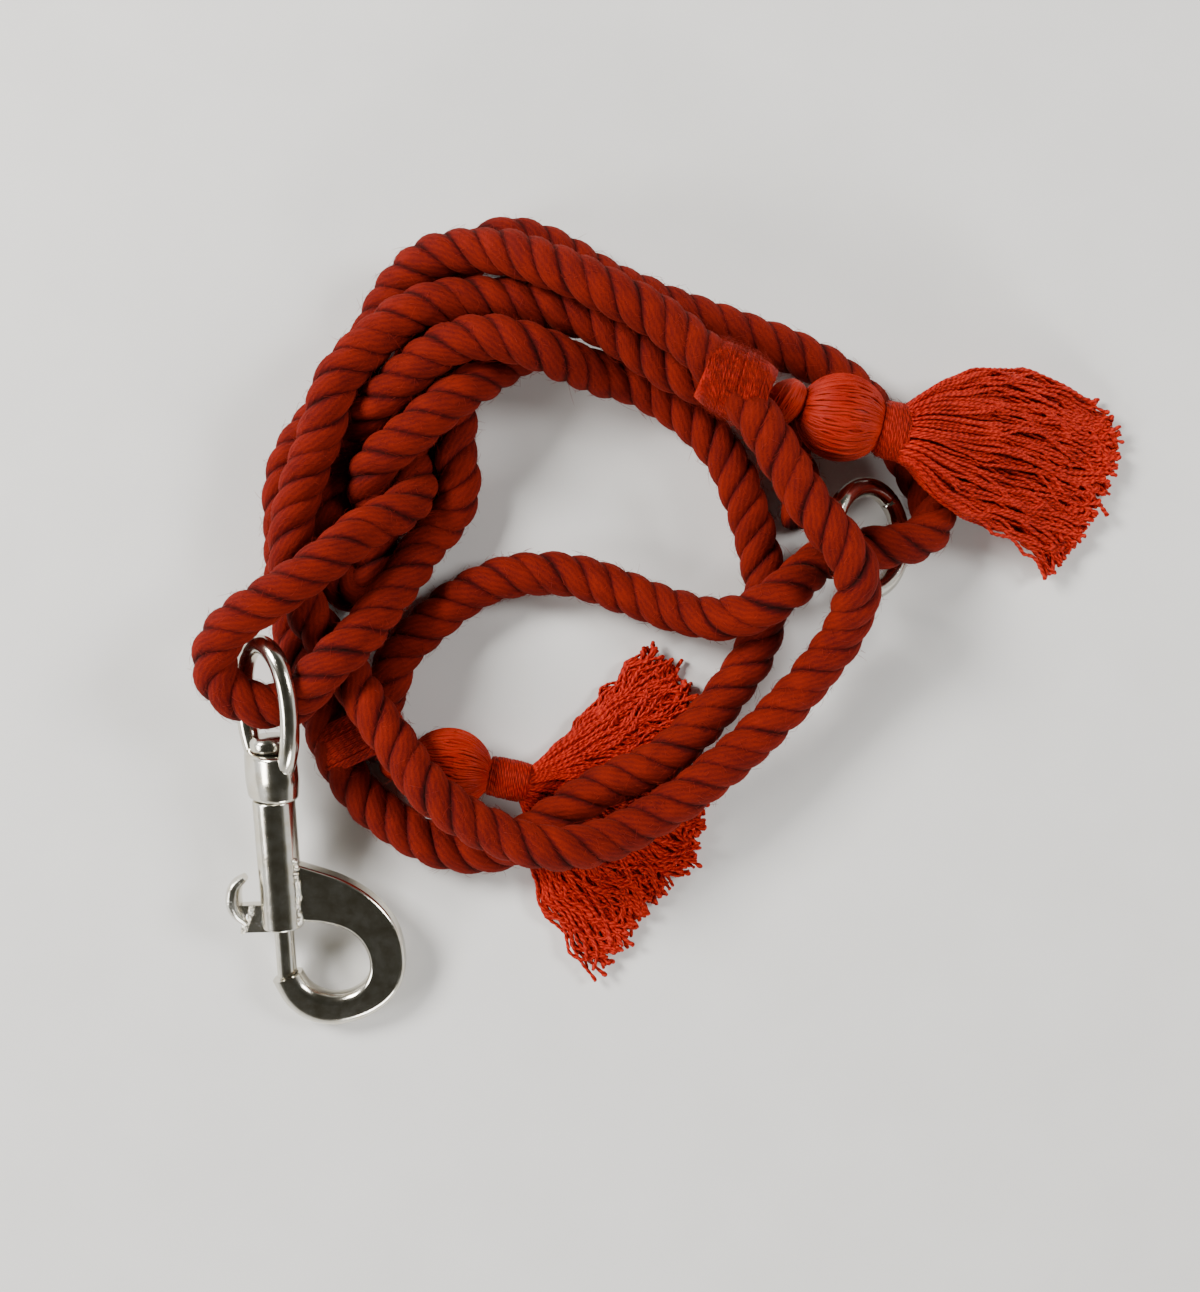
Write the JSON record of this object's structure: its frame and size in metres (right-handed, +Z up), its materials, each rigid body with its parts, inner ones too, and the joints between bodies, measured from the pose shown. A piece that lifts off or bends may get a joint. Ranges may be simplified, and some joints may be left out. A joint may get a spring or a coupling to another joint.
{
  "type": "lead rope",
  "caption": "Coiled red cotton lead rope for horses, with a swivel bolt snap, a loose ring and bound thread tassels, lying flat.",
  "frame": {"origin": "middle of the coil's plan box, on the table it lies on", "axes": "+X to the right and +Y to the top as the coil is seen from above, with the snap at the lower left, +Z up"},
  "size_m": [0.2282, 0.1992, 0.0338],
  "materials": {
    "rope_cotton": "soft three-strand laid cotton, matt and a little fuzzy",
    "binding_thread": "wound cotton thread with a slight sheen",
    "tassel_thread": "loose two-ply cotton threads",
    "nickel": "polished nickel plate over a casting",
    "ring_nickel": "polished nickel plate on round wire",
    "spring_steel": "drawn spring wire"
  },
  "bodies": {
    "rope": {"rope_loose_end": "rope_cotton", "rope_handle_loop_top": "rope_cotton", "rope_handle_loop_bottom": "rope_cotton", "rope_outer_turn_top": "rope_cotton", "rope_outer_turn_bottom": "rope_cotton", "rope_inner_turn_bottom": "rope_cotton", "rope_inner_turn_top": "rope_cotton", "rope_over_legs": "rope_cotton", "rope_snap_leg_lower": "rope_cotton", "rope_snap_bight": "rope_cotton", "rope_snap_leg_upper": "rope_cotton", "rope_back_run": "rope_cotton", "rope_ring_run": "rope_cotton", "rope_cross_run": "rope_cotton", "handle_whipping": "binding_thread", "snap_whipping": "binding_thread", "snap_tassel_knot": "binding_thread", "snap_tassel_head": "binding_thread", "snap_tassel_neck": "binding_thread", "snap_tassel_skirt": "tassel_thread"},
    "eye": {"snap_swivel_eye": "nickel"},
    "snap": {"snap_body": "nickel", "snap_swivel_stud": "nickel", "snap_spring": "spring_steel"},
    "bolt": {"snap_bolt": "nickel", "snap_thumb_trigger": "nickel"},
    "ring": {"loose_ring": "ring_nickel"},
    "handle_tassel": {"handle_tassel_knot": "binding_thread", "handle_tassel_head": "binding_thread", "handle_tassel_neck": "binding_thread", "handle_tassel_skirt": "tassel_thread"}
  },
  "joints": [
    {"name": "eye_swing", "type": "hinge", "parent": "rope", "child": "eye", "pos_m": [-0.09793, -0.01891, 0.01969], "axis": [-1, 0, 0], "range_deg": [0, 6]},
    {"name": "snap_swivel", "type": "hinge", "parent": "eye", "child": "snap", "pos_m": [-0.0972, -0.04237, 0.0147], "axis": [-0.0307, 0.9777, 0.2079], "continuous": true},
    {"name": "bolt_slide", "type": "slide", "parent": "snap", "child": "bolt", "axis": [-0.0307, 0.9777, 0.2079], "range_m": [0, 0.0115], "stiffness_N_per_m": 250, "springref_m": -0.004, "deforming": ["snap_spring"]},
    {"name": "ring_spin", "type": "hinge", "parent": "rope", "child": "ring", "pos_m": [0.04611, 0.02023, 0.01075], "axis": [0.6428, 0, 0.766], "continuous": true},
    {"name": "handle_tassel_lift", "type": "hinge", "parent": "rope", "child": "handle_tassel", "pos_m": [0.02079, 0.05338, 0.0262], "axis": [-0.2419, -0.9703, 0], "range_deg": [0, 50]}
  ]
}
